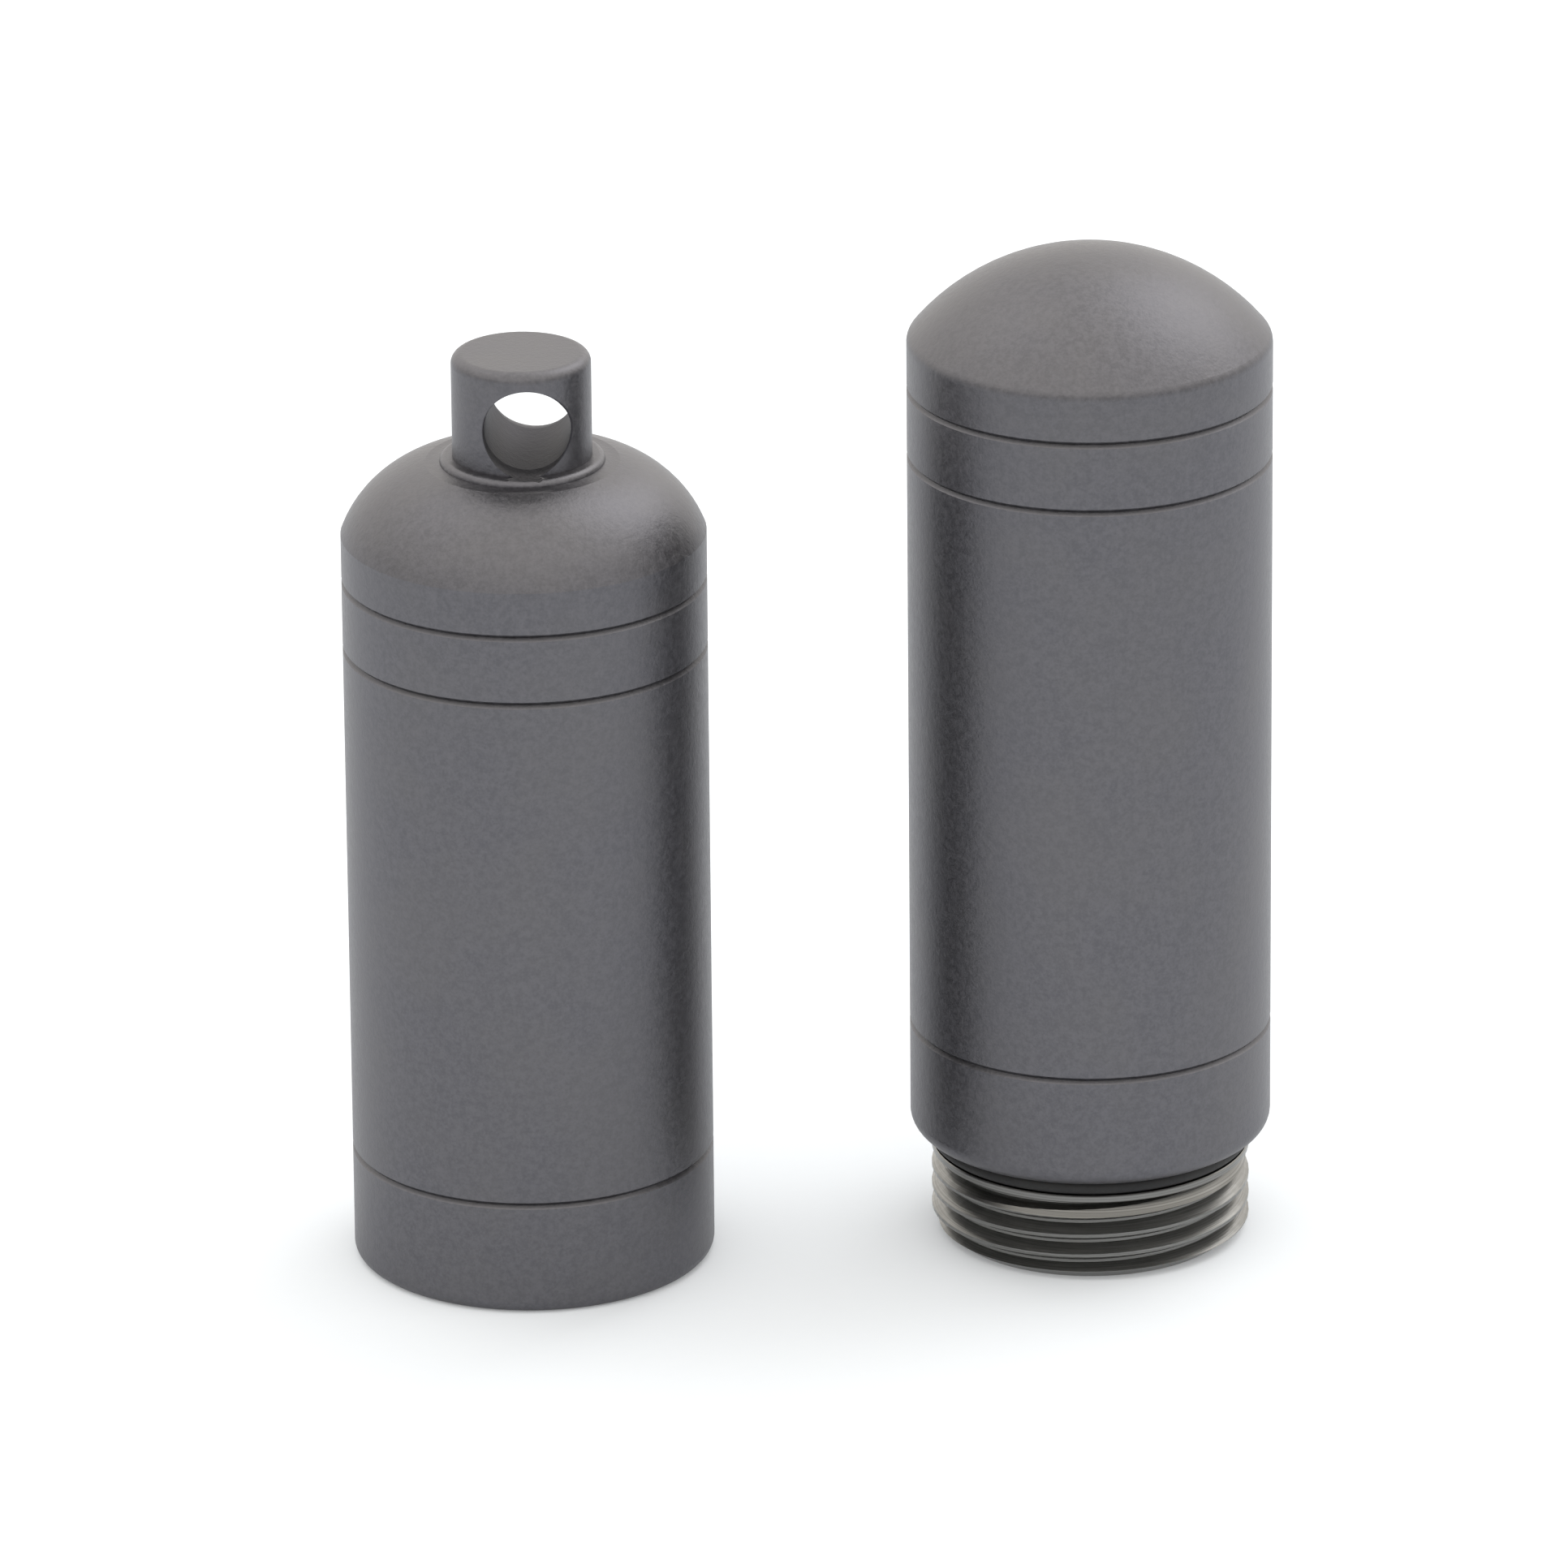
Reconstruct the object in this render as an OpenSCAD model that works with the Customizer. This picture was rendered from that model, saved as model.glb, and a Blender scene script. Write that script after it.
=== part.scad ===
// Two-piece pill fob, unscrewed: the cap half with its ring lug on the left and the
// threaded body half on the right, both standing on their open ends.
// Millimetres, +Z up, origin on the table midway between the two halves.

/* [Capsule] */
// Outside diameter of both halves
shell_d = 17; // [16.5:0.5:20]
// Distance between the two standing halves, along X
halves_apart_x = 26.2; // [20:0.1:60]
// How much farther back the body half stands, along Y
halves_apart_y = 3.2; // [0:0.1:20]

/* [Cap half] */
// Height of the straight side, from the mouth to the foot of the dome
cap_side_h = 35.9; // [30:0.1:50]
// Radius of the dome's shoulder arc
dome_arc_r = 5.57; // [5:0.01:6]
// Angle at which the dome leans in where it meets the side
dome_lean = 21; // [10:1:30]
// Diameter of the low collar around the lug
collar_d = 7.7; // [7.4:0.1:8]
// Height of the collar above the dome
collar_h = 0.2; // [0.16:0.01:0.3]
// Diameter of the ring lug
lug_d = 6.5; // [6.2:0.1:7.5]
// Height of the lug above the dome
lug_h = 5.2; // [4.8:0.1:7]
// Rounding of the lug's top edge
lug_round = 0.5; // [0.2:0.1:0.8]
// Diameter of the hole for the split ring
ring_hole_d = 4; // [3.5:0.1:4.2]
// Distance from the lug's top down to the hole's middle
ring_hole_drop = 2.8; // [2.6:0.1:3]
// Distance from the lug's middle to the hole's middle, sideways
ring_hole_aside = 0.4; // [0:0.05:0.5]
// Angle at which the hole rises from front to back
ring_hole_tilt = 2.6; // [0:0.1:4]
// Depth of the inside of the cap, from its mouth
cap_depth = 36; // [30:0.1:36.5]
// Inside diameter of the cap above its thread
cap_bore_d = 13.2; // [12:0.1:13.4]

/* [Body half] */
// Height of the neck, from its open end to the shoulder
neck_h = 5.15; // [5:0.05:6]
// Height of the crown's edge above the neck's open end
body_side_top = 44.45; // [40:0.05:60]
// Rise of the domed crown above its edge
crown_h = 4.1; // [3:0.1:5]
// Rounding of the crown's edge
crown_round = 0.65; // [0.3:0.05:1]
// Inside diameter of the body half
body_bore_d = 11.8; // [11:0.1:12]
// Depth of the inside of the body half, from its open end
body_depth = 44.5; // [38:0.1:45]
// Rounding between the shoulder and the side
shoulder_round = 0.85; // [0.4:0.05:0.9]

/* [Grooves] */
// Width of each fine turned groove
groove_w = 0.34; // [0.2:0.02:0.5]
// Depth of each fine turned groove
groove_depth = 0.15; // [0.08:0.01:0.2]
// Distance between the two grooves of a pair
groove_spacing = 3.3; // [2:0.1:5]
// Distance from the foot of the cap's dome down to its upper groove
cap_pair_drop = 2.2; // [1.5:0.1:4]
// Distance from the crown's edge down to the body half's upper groove
body_pair_drop = 2.35; // [1.5:0.05:4]
// Distance of the single grooves from the joint between the halves
joint_groove = 5.45; // [4:0.05:8]

/* [Thread and seal] */
// Outside diameter of the neck's thread
thread_d = 15; // [14.6:0.1:15]
// Advance of the thread in one turn
pitch = 1; // [0.8:0.05:1]
// Turns of thread inside the cap
cap_turns = 4.2; // [3:0.1:4.4]
// Thickness of the seal's round cord
seal_cord_d = 0.72; // [0.6:0.02:0.8]
// Width of the ring that holds the seal in its groove
flange_w = 0.35; // [0.3:0.05:0.4]

/* [Hidden] */
$fn = 120;

shell_r = shell_d / 2;
cap_x = -halves_apart_x / 2;
cap_y = -halves_apart_y / 2;
lug_r = lug_d / 2;
collar_r = collar_d / 2;
rim_round = 0.55;
collar_round = 0.3;
mouth_bevel = 0.1;
inner_corner_r = 3;

// The dome's arc starts at the top of the side, already leaning in, and ends level
dome_mid_r = shell_r - dome_arc_r * cos(dome_lean);
dome_mid_z = cap_side_h - dome_arc_r * sin(dome_lean);
dome_top_z = dome_mid_z + dome_arc_r;
// A wide, shallow hollow is turned into the dome around the collar's foot
hollow_r = 3;
hollow_out = 0.5;
hollow_depth = 0.14;
lug_top_z = dome_top_z + lug_h;
ring_hole_z = lug_top_z - ring_hole_drop;
ring_hole_r = ring_hole_d / 2;
// The hole's edges open out by the flare from where the plain bore ends to the lug's skin
plain_bore_half = 2.5;
ring_hole_flare = 0.13;

// The crown is part of a sphere; its edge is rounded by a small arc that touches both
crown_r = (shell_r * shell_r + crown_h * crown_h) / (2 * crown_h);
crown_mid_z = body_side_top + crown_h - crown_r;
edge_mid_r = shell_r - crown_round;
edge_mid_z = crown_mid_z + sqrt(pow(crown_r - crown_round, 2) - pow(edge_mid_r, 2));
edge_lean = atan2(edge_mid_z - crown_mid_z, edge_mid_r);

// Both threads have the same 60 degree section: its depth, the flat on its crest, and how far
// a ridge's foot is buried in the wall
flank_angle = 30;
thread_depth = 0.62 * pitch;
crest_w = 0.16 * pitch;
ridge_bury = 0.07 * pitch;
ridge_foot_w = crest_w + 2 * tan(flank_angle) * (thread_depth + ridge_bury);
thread_r = thread_d / 2;
root_r = thread_r - thread_depth;

// The cap's thread clears the neck's by the gap, and runs out before a plain relief
thread_gap = 0.06;
cap_crest_r = root_r + thread_gap;
cap_root_r = thread_r + thread_gap;
cap_first_z = 1.75;
cap_relief_w = 0.6;
cap_relief_z = cap_first_z + cap_turns * pitch + cap_relief_w;
cap_thread_steps = 48;
cap_thread_fade = 10;

// Height at which the neck's crest passes the front, -Y
front_crest_z = 0.36;
neck_thread_steps = 64;

// The neck's end is bevelled from a little inside the root, rising with each step outward
neck_end_inset = 0.18;
neck_end_r = root_r - neck_end_inset;
bevel_rise = 0.75;

// The seal lies in a groove between the shoulder and a flange, a little proud of the flange, so
// that the seat in the cap's mouth squeezes it. Under the flange the thread runs out into a
// relief groove, whose lower wall rises steeply inward.
groove_inset = 0.05;
neck_groove_r = root_r - groove_inset;
seal_gap = 0.02;
seal_ring_r = neck_groove_r + seal_gap + seal_cord_d / 2;
seal_z = neck_h - seal_gap - seal_cord_d / 2;
flange_top_z = neck_h - 2 * seal_gap - seal_cord_d;
flange_low_z = flange_top_z - flange_w;
flange_bevel = 0.05;
relief_w = 0.78;
relief_low_z = flange_low_z - relief_w;
relief_wall_rise = 1.2;
seat_depth = 1.2;
seat_gap = 0.03;
seat_r = thread_r + seat_gap;

// A half-plane corner at [r, z], filled out to a round of the given radius
module rounded_top(r, z_low, z_high, round_r) {
    translate([0, z_low]) square([r, z_high - round_r - z_low]);
    translate([0, z_low]) square([r - round_r, z_high - z_low]);
    translate([r - round_r, z_high - round_r]) circle(round_r);
}

// Cuts fine V grooves into a side of the capsule at each height of the list
module grooves(heights) {
    over = 0.1;
    half_w = groove_w / 2 * (1 + over / groove_depth);
    for (z = heights)
        polygon([
            [shell_r + over, z - half_w],
            [shell_r - groove_depth, z],
            [shell_r + over, z + half_w]
        ]);
}

// One corner of the ridge's section: how far out, and how far above its middle
function ridge_corner(k, foot, crest) =
    k == 0 ? [foot, -ridge_foot_w / 2] :
    k == 1 ? [crest, -crest_w / 2] :
    k == 2 ? [crest, crest_w / 2] : [foot, ridge_foot_w / 2];

// A right-hand thread ridge that rises from first_z. Its foot is buried in the wall, and
// over its first and last fade steps the crest grows out of the wall and sinks back into it.
module thread_ridge(wall_r, crest_r, first_z, turns, start_angle, steps_per_turn, fade) {
    inward = crest_r < wall_r ? -1 : 1;
    foot_r = wall_r - inward * ridge_bury;
    sunk_r = wall_r - inward * ridge_bury / 2;
    steps = round(turns * steps_per_turn);
    points = [
        for (i = [0 : steps])
            let (
                angle = start_angle + i * 360 / steps_per_turn,
                z = first_z + i * pitch / steps_per_turn,
                grown = fade == 0 ? 1 : min(1, i / fade, (steps - i) / fade),
                crest = sunk_r + (crest_r - sunk_r) * grown
            )
            for (k = [0 : 3])
                let (c = ridge_corner(k, foot_r, crest))
                [c[0] * cos(angle), c[0] * sin(angle), z + c[1]]
    ];
    flip = inward < 0;
    sides = [
        for (i = [0 : steps - 1])
            for (k = [0 : 3])
                let (
                    a = 4 * i + k,
                    b = 4 * i + (k + 1) % 4,
                    c = b + 4,
                    d = a + 4
                )
                for (face = [[a, b, c], [a, c, d]])
                    flip ? [face[2], face[1], face[0]] : face
    ];
    last = 4 * steps;
    ends = [[0, 3, 2], [0, 2, 1], [last, last + 1, last + 2], [last, last + 2, last + 3]];
    polyhedron(
        points = points,
        faces = concat(sides, [for (e = ends) flip ? [e[2], e[1], e[0]] : e])
    );
}

// Outside of the cap half, as half a section: rim, side, dome, collar and lug
module cap_outline() {
    past = 1;
    square([shell_r - rim_round, cap_side_h]);
    translate([0, rim_round]) square([shell_r, cap_side_h - rim_round]);
    translate([shell_r - rim_round, rim_round]) circle(rim_round);
    difference() {
        union() {
            square([dome_mid_r, dome_top_z]);
            intersection() {
                translate([dome_mid_r, dome_mid_z]) circle(dome_arc_r);
                translate([dome_mid_r - past, cap_side_h]) square([shell_r, dome_arc_r]);
            }
        }
        translate([collar_r + hollow_out, dome_top_z + hollow_r - hollow_depth]) circle(hollow_r);
    }
    rounded_top(collar_r, cap_side_h, dome_top_z + collar_h, collar_round);
    rounded_top(lug_r, cap_side_h, lug_top_z, lug_round);
}

// Inside of the cap half: seal seat, threaded stretch and the plain bore with its round end
module cap_cavity() {
    bore_r = cap_bore_d / 2;
    below = 1;
    translate([0, -below]) square([seat_r, seat_depth + below]);
    polygon([
        [0, -below],
        [seat_r + mouth_bevel + below, -below],
        [seat_r, mouth_bevel],
        [0, mouth_bevel]
    ]);
    square([cap_root_r, cap_relief_z]);
    rounded_top(bore_r, 0, cap_depth, inner_corner_r);
}

module cap_shell() {
    color([0.42, 0.42, 0.44])
    translate([cap_x, cap_y, 0])
    union() {
        difference() {
            rotate_extrude()
            difference() {
                cap_outline();
                grooves([
                    joint_groove,
                    cap_side_h - cap_pair_drop - groove_spacing,
                    cap_side_h - cap_pair_drop
                ]);
                cap_cavity();
            }
            translate([ring_hole_aside, 0, ring_hole_z])
            rotate([90 + ring_hole_tilt, 0, 0])
            ring_hole();
        }
        thread_ridge(
            wall_r = cap_root_r,
            crest_r = cap_crest_r,
            first_z = cap_first_z,
            turns = cap_turns,
            start_angle = 0,
            steps_per_turn = cap_thread_steps,
            fade = cap_thread_fade
        );
    }
}

// The hole for the split ring: a plain bore that opens out a little at both skins of the lug
module ring_hole() {
    past = 0.5;
    reach = lug_r + past;
    flare_r = ring_hole_r + ring_hole_flare * (reach - plain_bore_half) / (lug_r - plain_bore_half);
    cylinder(h = 2 * reach, r = ring_hole_r, center = true);
    for (end = [0, 1])
        mirror([0, 0, end])
        translate([0, 0, plain_bore_half])
        cylinder(h = reach - plain_bore_half, r1 = ring_hole_r, r2 = flare_r);
}

// Outside of the body half, as half a section, with the neck as a plain core that reaches
// past both ends of the thread; neck_trim() gives it its end and its grooves
module body_outline() {
    past = 0.5;
    edge_r = edge_mid_r + crown_round * cos(edge_lean);
    translate([0, -past]) square([root_r, neck_h + past]);
    translate([0, neck_h - past]) square([shell_r - shoulder_round, edge_mid_z - neck_h + past]);
    translate([shell_r - shoulder_round, neck_h + shoulder_round]) circle(shoulder_round);
    translate([0, neck_h + shoulder_round]) square([shell_r, edge_mid_z - neck_h - shoulder_round]);
    polygon([
        [0, edge_mid_z],
        [edge_mid_r, edge_mid_z],
        [edge_r, edge_mid_z + crown_round * sin(edge_lean)],
        [0, edge_mid_z + crown_round * sin(edge_lean)]
    ]);
    translate([edge_mid_r, edge_mid_z]) circle(crown_round);
    intersection() {
        translate([0, crown_mid_z]) circle(crown_r);
        translate([0, edge_mid_z]) square([edge_r, 2 * crown_h]);
    }
}

// What is turned away from the neck and its thread: all below the open end, the bevel
// around that end, and all outside the grooves, from the relief's wall up to the shoulder
module neck_trim() {
    past = 1;
    below = -3;
    far_r = shell_r + past;
    polygon([
        [0, below],
        [far_r, below],
        [far_r, (far_r - neck_end_r) * bevel_rise],
        [neck_end_r, 0],
        [0, 0]
    ]);
    polygon([
        [neck_groove_r, relief_low_z + (thread_r - neck_groove_r) * relief_wall_rise],
        [far_r, relief_low_z - (far_r - thread_r) * relief_wall_rise],
        [far_r, neck_h],
        [neck_groove_r, neck_h]
    ]);
}

// The ring between the seal's groove and the relief groove, rooted in the neck
module flange() {
    rooted = 0.3;
    polygon([
        [neck_groove_r - rooted, flange_low_z],
        [thread_r - flange_bevel, flange_low_z],
        [thread_r, flange_low_z + flange_bevel],
        [thread_r, flange_top_z - flange_bevel],
        [thread_r - flange_bevel, flange_top_z],
        [neck_groove_r - rooted, flange_top_z]
    ]);
}

module body_shell() {
    ridge_low = -pitch / 2;
    ridge_high = flange_low_z + pitch / 2;
    below = 1;
    color([0.42, 0.42, 0.44])
    translate([-cap_x, -cap_y, 0]) {
        difference() {
            union() {
                rotate_extrude()
                difference() {
                    body_outline();
                    grooves([
                        neck_h + joint_groove,
                        body_side_top - body_pair_drop - groove_spacing,
                        body_side_top - body_pair_drop
                    ]);
                    translate([0, -below])
                    rounded_top(body_bore_d / 2, 0, body_depth + below, inner_corner_r);
                }
                thread_ridge(
                    wall_r = root_r,
                    crest_r = thread_r,
                    first_z = ridge_low,
                    turns = (ridge_high - ridge_low) / pitch,
                    start_angle = (ridge_low - front_crest_z) / pitch * 360 - 90,
                    steps_per_turn = neck_thread_steps,
                    fade = 0
                );
            }
            rotate_extrude() neck_trim();
        }
        rotate_extrude() flange();
    }
}

// Black rubber seal in its groove on the neck, close under the shoulder
module o_ring() {
    color([0.05, 0.05, 0.05])
    translate([-cap_x, -cap_y, seal_z])
    rotate_extrude()
    translate([seal_ring_r, 0]) circle(seal_cord_d / 2);
}

cap_shell();
body_shell();
o_ring();
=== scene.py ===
import math

import bpy
from mathutils import Matrix, Vector

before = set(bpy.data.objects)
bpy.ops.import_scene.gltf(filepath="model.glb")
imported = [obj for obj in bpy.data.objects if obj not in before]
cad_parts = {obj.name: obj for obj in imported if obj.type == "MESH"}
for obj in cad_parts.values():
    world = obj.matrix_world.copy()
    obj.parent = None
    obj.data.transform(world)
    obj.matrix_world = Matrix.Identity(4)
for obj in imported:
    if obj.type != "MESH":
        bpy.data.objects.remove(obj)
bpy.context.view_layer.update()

# ---------------------------------------------------------------- places on the object, in metres
# The two halves' axes, in plan
CAP_AXIS = (-0.0131, -0.0016)
BODY_AXIS = (0.0131, 0.0016)
SHELL_R = 0.0085

# Bare turned metal reaches up to these heights: inside the cap, and up to the body's shoulder
CAP_BARE_TOP = 0.0345
BODY_BARE_TOP = 0.00515
# How far in from the outer radius the blasted skin ends and the bare metal starts
SKIN_END, BARE_START = 0.0006, 0.00085
# Half the height over which bare metal turns into blasted metal at those tops
TOP_BLUR = 0.00002

# The straight sides, where the fine grooves lie
CAP_SIDE = (0.0008, 0.0357)
BODY_SIDE = (0.0062, 0.0435)
SIDE_BLUR = 0.0001
# Depths in a groove at which the painted shade starts and is full
GROOVE_SHADE_START, GROOVE_SHADE_FULL = 0.00001, 0.00010

# The hole in the ring lug: a point on its axis, and how much it rises for each step back
HOLE_MID = (-0.0127, -0.0016, 0.041874)
HOLE_RISE = 0.0454
HOLE_R = 0.002
# How far out from the hole's radius its wall's painted shade and duller finish start to fade, and
# end
WALL_FADE, WALL_END = 0.00003, 0.00012

# ---------------------------------------------------------------- colours, linear
BLAST_DARK = (0.112, 0.111, 0.122, 1.0)
BLAST_LIGHT = (0.148, 0.146, 0.160, 1.0)
BLAST_CLOUD = (0.156, 0.151, 0.149, 1.0)
TURNED_DARK = (0.145, 0.144, 0.138, 1.0)
TURNED_LIGHT = (0.228, 0.226, 0.219, 1.0)
# painted shade for the hollows of the side grooves
GROOVE_PAINTED_SHADE = (0.050, 0.050, 0.054, 1.0)
# painted shade on the wall inside the ring lug's hole
HOLE_WALL_PAINTED_SHADE = (0.058, 0.057, 0.066, 1.0)
RUBBER_DARK = (0.004, 0.004, 0.005, 1.0)
RUBBER_LIGHT = (0.009, 0.009, 0.009, 1.0)
FLOOR_DARK = (0.655, 0.69, 0.735, 1.0)
FLOOR_LIGHT = (0.665, 0.70, 0.745, 1.0)
WHITE = (1.0, 1.0, 1.0, 1.0)
ROOM_LOW = (0.64, 0.62, 0.60, 1.0)
ROOM_HIGH = (1.55, 1.50, 1.41, 1.0)

# ---------------------------------------------------------------- roughness and texture
BLAST_ROUGHNESS = 0.40
BLAST_ROUGHNESS_VARIES = 0.10
TURNED_ROUGHNESS = 0.29
HOLE_ROUGHNESS = 0.58
RUBBER_ROUGHNESS = 0.58
RUBBER_ROUGHNESS_VARIES = 0.15

# Noise textures: features per metre, detail, and how rough that detail is
PITS = (7500.0, 3.0, 0.6)
LARGER_PITS = (3000.0, 2.0, 0.5)
CLOUDS = (220.0, 3.0, 0.55)
RINGS = (16000.0, 2.0, 0.6)
RUBBER_GRAIN = (6000.0, 2.0, 0.5)
RUBBER_CLOUDS = (700.0, 2.0, 0.5)
FLOOR_GRAIN = (1500.0, 2.0, 0.5)

# Noise lies around 0.5: each texture goes from dark to light between these values
PITS_RANGE = (0.34, 0.68)
CLOUDS_RANGE = (0.35, 0.7)
RINGS_RANGE = (0.3, 0.7)
RUBBER_RANGE = (0.35, 0.65)

CLOUDS_SHARE = 0.18
# how strongly the painted shade darkens the grooves
GROOVE_SHADE_SHARE = 0.45
# How deep the turned rings are, next to the blast's pits
RINGS_HEIGHT = 0.25
METAL_BUMP = 0.000025
RUBBER_BUMP = 0.00001
RUBBER_BUMP_STRENGTH = 0.3

# ---------------------------------------------------------------- floor, lamps and camera
FLOOR_HALF = 0.9
# The floor's own light, which only the camera and reflections see, and which brings it to white
FLOOR_GLOW = 0.17

# The room brightens between these shares of the way to straight behind, and straight up
ROOM_BEHIND = (-0.3, 0.9)
ROOM_ABOVE = (0.05, 0.6)

LAMP_AIM = Vector((0, 0, 0.02))
LAMP_DISTANCE = 0.5

CAMERA_AZIMUTH = 2.36
CAMERA_ELEVATION = 21.19
CAMERA_ROLL = -0.52
CAMERA_TARGET = Vector((-0.00118, -0.00005, 0.02275))
CAMERA_DISTANCE = 0.6728
CAMERA_SENSOR = 36.0
CAMERA_LENS = 330.2
CAMERA_CLIP = (0.01, 10.0)


class Tree:
    """The node tree of a material or world, with short calls for the nodes used here."""

    def __init__(self, owner):
        owner.use_nodes = True
        self.tree = owner.node_tree
        self.tree.nodes.clear()

    def put(self, node, socket, value):
        """Link an output to a node's socket, or set the socket's own value."""
        if isinstance(value, bpy.types.NodeSocket):
            self.tree.links.new(value, node.inputs[socket])
        else:
            node.inputs[socket].default_value = value

    def node(self, kind, **sockets):
        made = self.tree.nodes.new(kind)
        for name, value in sockets.items():
            self.put(made, name.replace("_", " "), value)
        return made

    def math(self, operation, a, b=0.0):
        made = self.tree.nodes.new("ShaderNodeMath")
        made.operation = operation
        self.put(made, 0, a)
        self.put(made, 1, b)
        return made.outputs[0]

    def add(self, a, b):
        return self.math("ADD", a, b)

    def subtract(self, a, b):
        return self.math("SUBTRACT", a, b)

    def multiply(self, a, b):
        return self.math("MULTIPLY", a, b)

    def length(self, a, b):
        """The length of a step of a one way and b across it."""
        return self.math("SQRT", self.add(self.multiply(a, a), self.multiply(b, b)))

    def between(self, factor, a, b):
        """The number a where factor is 0, b where it is 1."""
        return self.add(self.multiply(self.subtract(b, a), factor), a)

    def mix(self, factor, a, b):
        """The colour a where factor is 0, b where it is 1."""
        made = self.tree.nodes.new("ShaderNodeMix")
        made.data_type = "RGBA"
        self.put(made, 0, factor)
        self.put(made, 6, a)
        self.put(made, 7, b)
        return made.outputs[2]

    def rising(self, value, low, high):
        """0 below low, 1 above high, smooth between."""
        made = self.tree.nodes.new("ShaderNodeMapRange")
        made.interpolation_type = "SMOOTHSTEP"
        self.put(made, 0, value)
        self.put(made, 1, low)
        self.put(made, 2, high)
        return made.outputs[0]

    def falling(self, value, low, high):
        """1 below low, 0 above high, smooth between."""
        return self.subtract(1.0, self.rising(value, low, high))

    def noise(self, where, scale, detail, rough):
        made = self.node("ShaderNodeTexNoise", Vector=where, Scale=scale, Detail=detail,
                         Roughness=rough)
        return made.outputs["Fac"]


# ---------------------------------------------------------------- materials
def in_ring_hole(t, x, y, z):
    """1 on the wall of the ring lug's hole, 0 elsewhere."""
    back = t.subtract(y, HOLE_MID[1])
    aside = t.subtract(x, HOLE_MID[0])
    up = t.subtract(t.subtract(z, HOLE_MID[2]), t.multiply(back, HOLE_RISE))
    return t.falling(t.length(aside, up), HOLE_R + WALL_FADE, HOLE_R + WALL_END)


def metal(name, axis, bare_top, side, seed, drilled):
    """Blasted metal outside; bare turned metal inside and on the neck, up to bare_top."""
    material = bpy.data.materials.new(name)
    t = Tree(material)
    where = t.node("ShaderNodeTexCoord").outputs["Object"]
    x, y, z = t.node("ShaderNodeSeparateXYZ", Vector=where).outputs
    radius = t.length(t.subtract(x, axis[0]), t.subtract(y, axis[1]))

    within = t.falling(radius, SHELL_R - BARE_START, SHELL_R - SKIN_END)
    bare = t.multiply(within, t.falling(z, bare_top - TOP_BLUR, bare_top + TOP_BLUR))

    # the blast's marks, other ones on each half: fine pits, larger ones, and faint clouds
    shifted = t.node("ShaderNodeVectorMath")
    shifted.operation = "ADD"
    t.put(shifted, 0, where)
    t.put(shifted, 1, (seed, 0.3 * seed, 0.7 * seed))
    there = shifted.outputs[0]
    fine, larger = t.noise(there, *PITS), t.noise(there, *LARGER_PITS)
    pits = t.add(t.multiply(fine, 0.5), t.multiply(larger, 0.5))
    shade = t.rising(pits, *PITS_RANGE)
    blasted = t.mix(shade, BLAST_DARK, BLAST_LIGHT)
    cloud = t.rising(t.noise(there, *CLOUDS), *CLOUDS_RANGE)
    blasted = t.mix(t.multiply(cloud, CLOUDS_SHARE), blasted, BLAST_CLOUD)

    # painted shade: a darker colour in the fine grooves of the straight side
    foot, head = side
    on_side = t.multiply(t.rising(z, foot, foot + SIDE_BLUR),
                         t.falling(z, head - SIDE_BLUR, head))
    sunk = t.falling(radius, SHELL_R - GROOVE_SHADE_FULL, SHELL_R - GROOVE_SHADE_START)
    groove_shade = t.multiply(t.multiply(sunk, on_side), GROOVE_SHADE_SHARE)
    blasted = t.mix(groove_shade, blasted, GROOVE_PAINTED_SHADE)

    # turned metal: thin rings round the axis
    ring_place = t.node("ShaderNodeCombineXYZ", X=radius, Y=z, Z=0.0).outputs[0]
    rings = t.noise(ring_place, *RINGS)
    turned = t.mix(t.rising(rings, *RINGS_RANGE), TURNED_DARK, TURNED_LIGHT)

    colour = t.mix(bare, blasted, turned)
    rough = t.add(t.multiply(shade, BLAST_ROUGHNESS_VARIES), BLAST_ROUGHNESS)
    rough = t.between(bare, rough, TURNED_ROUGHNESS)
    if drilled:
        # the hole's wall, out of the blast's reach, is duller; its darker colour is painted shade
        hole = in_ring_hole(t, x, y, z)
        colour = t.mix(hole, colour, HOLE_WALL_PAINTED_SHADE)
        rough = t.between(hole, rough, HOLE_ROUGHNESS)

    height = t.add(t.multiply(pits, t.subtract(1.0, bare)),
                   t.multiply(t.multiply(rings, bare), RINGS_HEIGHT))
    bump = t.node("ShaderNodeBump", Height=height, Strength=1.0, Distance=METAL_BUMP)
    shader = t.node("ShaderNodeBsdfPrincipled", Base_Color=colour, Metallic=1.0,
                    Roughness=rough, Normal=bump.outputs[0])
    t.node("ShaderNodeOutputMaterial", Surface=shader.outputs[0])
    return material


def rubber():
    """Dull black rubber with a fine grain."""
    material = bpy.data.materials.new("seal_rubber_look")
    t = Tree(material)
    where = t.node("ShaderNodeTexCoord").outputs["Object"]
    grain = t.noise(where, *RUBBER_GRAIN)
    cloud = t.rising(t.noise(where, *RUBBER_CLOUDS), *RUBBER_RANGE)
    bump = t.node("ShaderNodeBump", Height=grain, Strength=RUBBER_BUMP_STRENGTH,
                  Distance=RUBBER_BUMP)
    shader = t.node(
        "ShaderNodeBsdfPrincipled",
        Base_Color=t.mix(cloud, RUBBER_DARK, RUBBER_LIGHT),
        Roughness=t.add(t.multiply(grain, RUBBER_ROUGHNESS_VARIES), RUBBER_ROUGHNESS),
        Normal=bump.outputs[0],
    )
    t.node("ShaderNodeOutputMaterial", Surface=shader.outputs[0])
    return material


def dress(node, material):
    """Give a CAD node this material and no other."""
    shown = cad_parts[node]
    shown.data.materials.clear()
    shown.data.materials.append(material)


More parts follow.
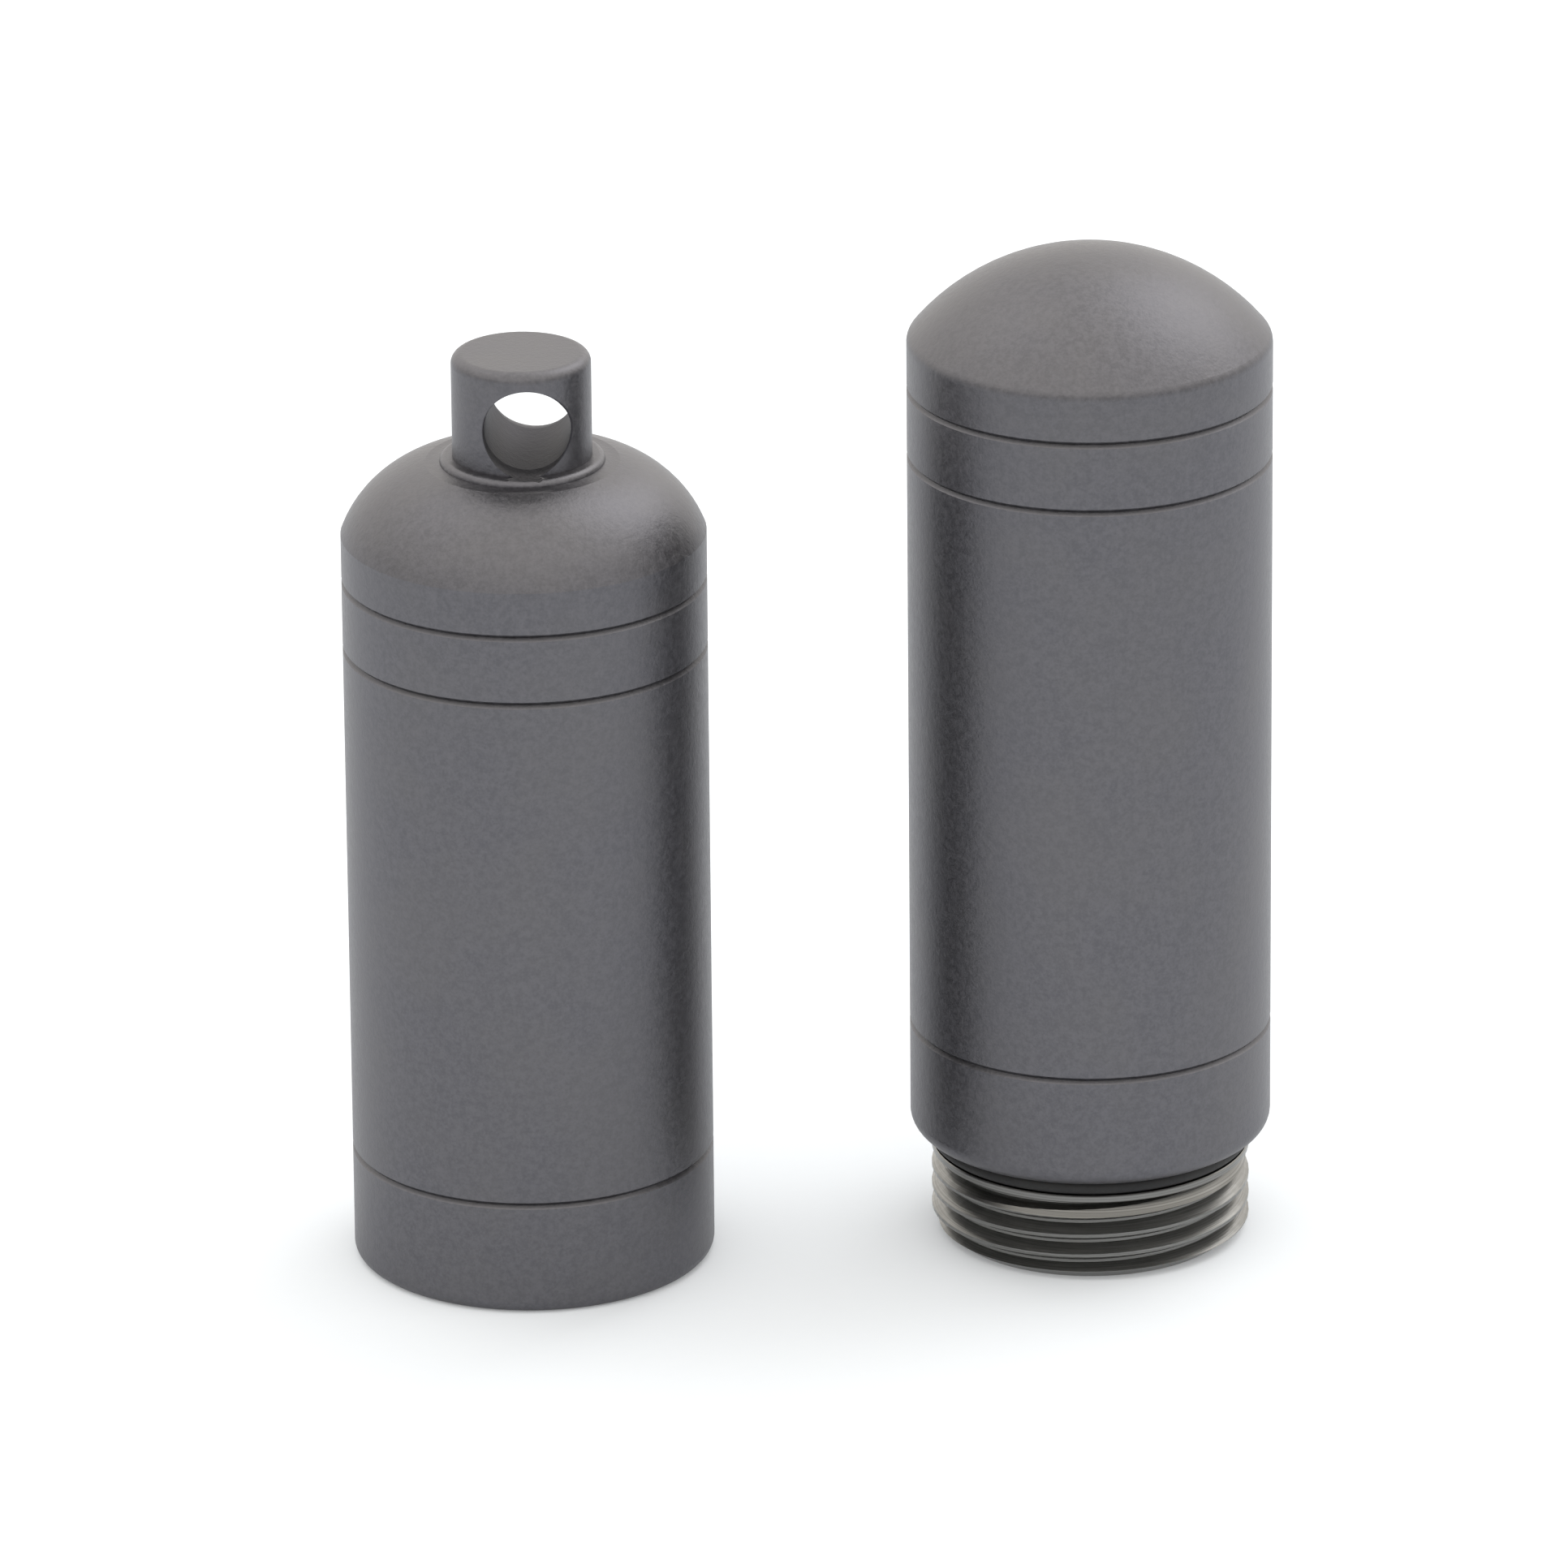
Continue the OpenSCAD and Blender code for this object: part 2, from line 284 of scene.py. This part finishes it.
dress("cap_shell", metal("cap_metal_look", CAP_AXIS, CAP_BARE_TOP, CAP_SIDE,
                         seed=3.1, drilled=True))
dress("body_shell", metal("body_metal_look", BODY_AXIS, BODY_BARE_TOP, BODY_SIDE,
                          seed=7.7, drilled=False))
dress("o_ring", rubber())


# ---------------------------------------------------------------- floor
def floor_material():
    """Pale matt paint, white to the camera and in reflections, which keeps the shadows."""
    material = bpy.data.materials.new("floor_look")
    t = Tree(material)
    where = t.node("ShaderNodeTexCoord").outputs["Object"]
    grain = t.noise(where, *FLOOR_GRAIN)
    paint = t.node("ShaderNodeBsdfDiffuse", Color=t.mix(grain, FLOOR_DARK, FLOOR_LIGHT))
    path = t.node("ShaderNodeLightPath")
    seen = t.math("MAXIMUM", path.outputs["Is Camera Ray"], path.outputs["Is Glossy Ray"])
    seen = t.math("MAXIMUM", seen, path.outputs["Is Transmission Ray"])
    glow = t.node("ShaderNodeEmission", Color=WHITE, Strength=t.multiply(seen, FLOOR_GLOW))
    both = t.node("ShaderNodeAddShader")
    t.put(both, 0, paint.outputs[0])
    t.put(both, 1, glow.outputs[0])
    t.node("ShaderNodeOutputMaterial", Surface=both.outputs[0])
    return material


def floor_mesh(half):
    mesh = bpy.data.meshes.new("floor")
    corners = [(-half, -half, 0), (half, -half, 0), (half, half, 0), (-half, half, 0)]
    mesh.from_pydata(corners, [], [(0, 1, 2, 3)])
    return mesh


floor = bpy.data.objects.new("floor", floor_mesh(FLOOR_HALF))
floor.data.materials.append(floor_material())
bpy.context.scene.collection.objects.link(floor)


# ---------------------------------------------------------------- room and lamps
def room():
    """Soft light all round, dimmer low down on the viewer's side."""
    world = bpy.data.worlds.new("room")
    bpy.context.scene.world = world
    t = Tree(world)
    where = t.node("ShaderNodeTexCoord").outputs["Generated"]
    _, y, z = t.node("ShaderNodeSeparateXYZ", Vector=where).outputs
    walls = t.mix(t.rising(y, *ROOM_BEHIND), ROOM_LOW, ROOM_HIGH)
    walls = t.mix(t.rising(z, *ROOM_ABOVE), walls, ROOM_HIGH)
    light = t.node("ShaderNodeBackground", Color=walls, Strength=1.0)
    t.node("ShaderNodeOutputWorld", Surface=light.outputs[0])


def outward(azimuth, elevation):
    """The direction of a place seen from the object, where azimuth 0 is the viewer's side."""
    a, e = math.radians(azimuth), math.radians(elevation)
    return Vector((math.sin(a) * math.cos(e), -math.cos(a) * math.cos(e), math.sin(e)))


def lamp(name, azimuth, elevation, size, watts):
    """A soft square lamp that looks at the object; azimuth 90 is +X."""
    away = outward(azimuth, elevation)
    data = bpy.data.lights.new(name, "AREA")
    data.shape = "SQUARE"
    data.size = size
    data.energy = watts
    made = bpy.data.objects.new(name, data)
    made.location = LAMP_AIM + away * LAMP_DISTANCE
    made.rotation_mode = "QUATERNION"
    made.rotation_quaternion = away.to_track_quat("Z", "Y")
    bpy.context.scene.collection.objects.link(made)


room()
lamp("lamp_right", azimuth=132.0, elevation=48.0, size=0.36, watts=0.60)
lamp("lamp_left", azimuth=-125.0, elevation=60.0, size=0.20, watts=0.08)


# ---------------------------------------------------------------- camera
def add_camera():
    """The photograph's view: the camera looks along its own -Z, with +Y up in the picture."""
    azimuth, roll = math.radians(CAMERA_AZIMUTH), math.radians(CAMERA_ROLL)
    back = outward(CAMERA_AZIMUTH, CAMERA_ELEVATION)
    level_right = Vector((math.cos(azimuth), math.sin(azimuth), 0.0))
    level_up = back.cross(level_right)
    right = level_right * math.cos(roll) + level_up * math.sin(roll)
    up = level_up * math.cos(roll) - level_right * math.sin(roll)
    turn = Matrix((right, up, back)).transposed().to_4x4()

    camera = bpy.data.objects.new("camera", bpy.data.cameras.new("camera"))
    camera.data.sensor_width = CAMERA_SENSOR
    camera.data.lens = CAMERA_LENS
    camera.data.clip_start, camera.data.clip_end = CAMERA_CLIP
    camera.matrix_world = Matrix.Translation(CAMERA_TARGET + back * CAMERA_DISTANCE) @ turn
    bpy.context.scene.collection.objects.link(camera)
    bpy.context.scene.camera = camera


add_camera()
bpy.context.scene.view_settings.view_transform = "Standard"
